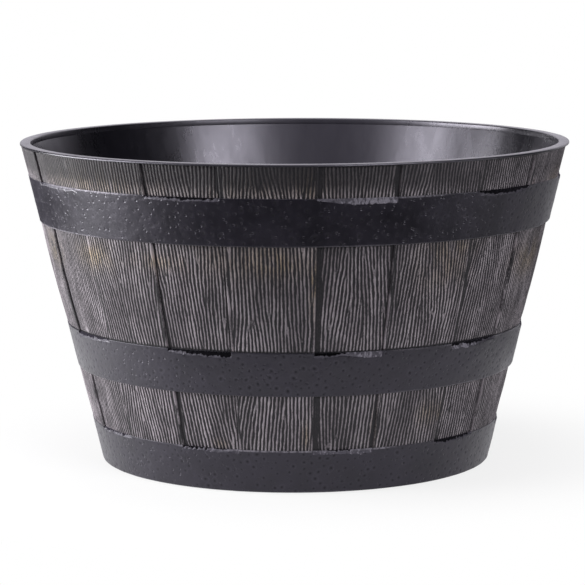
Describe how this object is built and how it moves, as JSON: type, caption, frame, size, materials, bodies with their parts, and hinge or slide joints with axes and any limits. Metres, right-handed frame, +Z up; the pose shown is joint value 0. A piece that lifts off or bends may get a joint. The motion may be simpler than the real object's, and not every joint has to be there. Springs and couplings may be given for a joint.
{
  "type": "planter",
  "caption": "Half-barrel planter of wood-effect staves with hammered hoops round a tapered shell, and a pull-out drain plug in the raised floor.",
  "frame": {"origin": "centre of the foot, on the ground", "axes": "+Z up along the pot's axis; the pictured front faces -Y, with +X to its right"},
  "size_m": [0.5649, 0.565, 0.33],
  "materials": {
    "shell": "smooth satin charcoal resin with soft reflections",
    "wood_effect": "resin moulded with deep wood grain, dark in the grooves and dry-brushed greyish tan on the ridges",
    "hoops": "bluish charcoal satin resin with small hammered pits",
    "plug": "soft black rubber"
  },
  "bodies": {
    "pot": {"inner_shell": "shell", "stave_01": "wood_effect", "stave_02": "wood_effect", "stave_03": "wood_effect", "stave_04": "wood_effect", "stave_05": "wood_effect", "stave_06": "wood_effect", "stave_07": "wood_effect", "stave_08": "wood_effect", "stave_09": "wood_effect", "stave_10": "wood_effect", "stave_11": "wood_effect", "stave_12": "wood_effect", "stave_13": "wood_effect", "stave_14": "wood_effect", "stave_15": "wood_effect", "stave_16": "wood_effect", "stave_17": "wood_effect", "stave_18": "wood_effect", "stave_19": "wood_effect", "stave_20": "wood_effect", "hoop_top": "hoops", "hoop_middle": "hoops", "hoop_bottom": "hoops"},
    "plug": {"drain_plug": "plug"}
  },
  "joints": [
    {"name": "plug_pull", "type": "slide", "parent": "pot", "child": "plug", "axis": [0, 0, 1], "range_m": [0, 0.06]}
  ]
}
